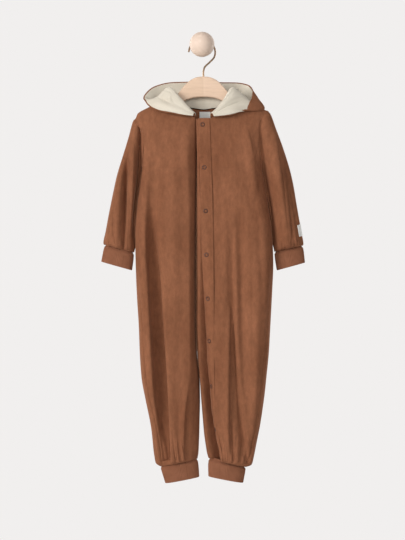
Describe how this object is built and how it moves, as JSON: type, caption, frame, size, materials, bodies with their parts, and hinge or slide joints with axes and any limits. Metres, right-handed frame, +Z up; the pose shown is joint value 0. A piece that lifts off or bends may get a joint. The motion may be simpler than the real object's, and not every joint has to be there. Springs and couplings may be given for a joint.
{
  "type": "hooded onesie pajama on a hanger and wall knob",
  "caption": "Long-sleeved velour one-piece pajama with a lined hood laid open, ribbed cuffs and a snap front running into one leg, on a wooden hanger and wall knob.",
  "frame": {"origin": "middle of the wall knob's flat back face, on the wall", "axes": "+Y into the wall, +Z up, +X to the viewer's right, which is the wearer's left"},
  "size_m": [0.4094, 0.0871, 0.9026],
  "materials": {
    "velour": "brown cotton velour with a short pile and a soft sheen",
    "rib_knit": "fine brown rib knit, matte",
    "jersey": "cream cotton jersey, matte",
    "label_tape": "white woven tape, bare",
    "snap_metal": "brown painted ring snap, satin",
    "hanger_wood": "pale beech, satin lacquer",
    "knob_wood": "pale turned beech, matte",
    "hook_wire": "warm grey plated wire, satin"
  },
  "bodies": {
    "root": {"front_right": "velour", "back_right": "velour", "front_left": "velour", "back_left": "velour", "front_placket": "velour", "front_underlap": "velour", "snap_1": "snap_metal", "snap_2": "snap_metal", "snap_3": "snap_metal", "snap_4": "snap_metal", "snap_5": "snap_metal", "snap_6": "snap_metal", "snap_7": "snap_metal", "snap_8": "snap_metal", "sleeve_right": "velour", "sleeve_left": "velour", "cuff_wrist_right": "rib_knit", "cuff_wrist_left": "rib_knit", "cuff_ankle_right": "rib_knit", "cuff_ankle_left": "rib_knit", "hood_shell": "velour", "hood_lining": "jersey", "label_neck": "label_tape", "label_sleeve": "label_tape", "hanger_bar": "hanger_wood", "hanger_hook": "hook_wire", "wall_knob": "knob_wood"}
  },
  "joints": []
}
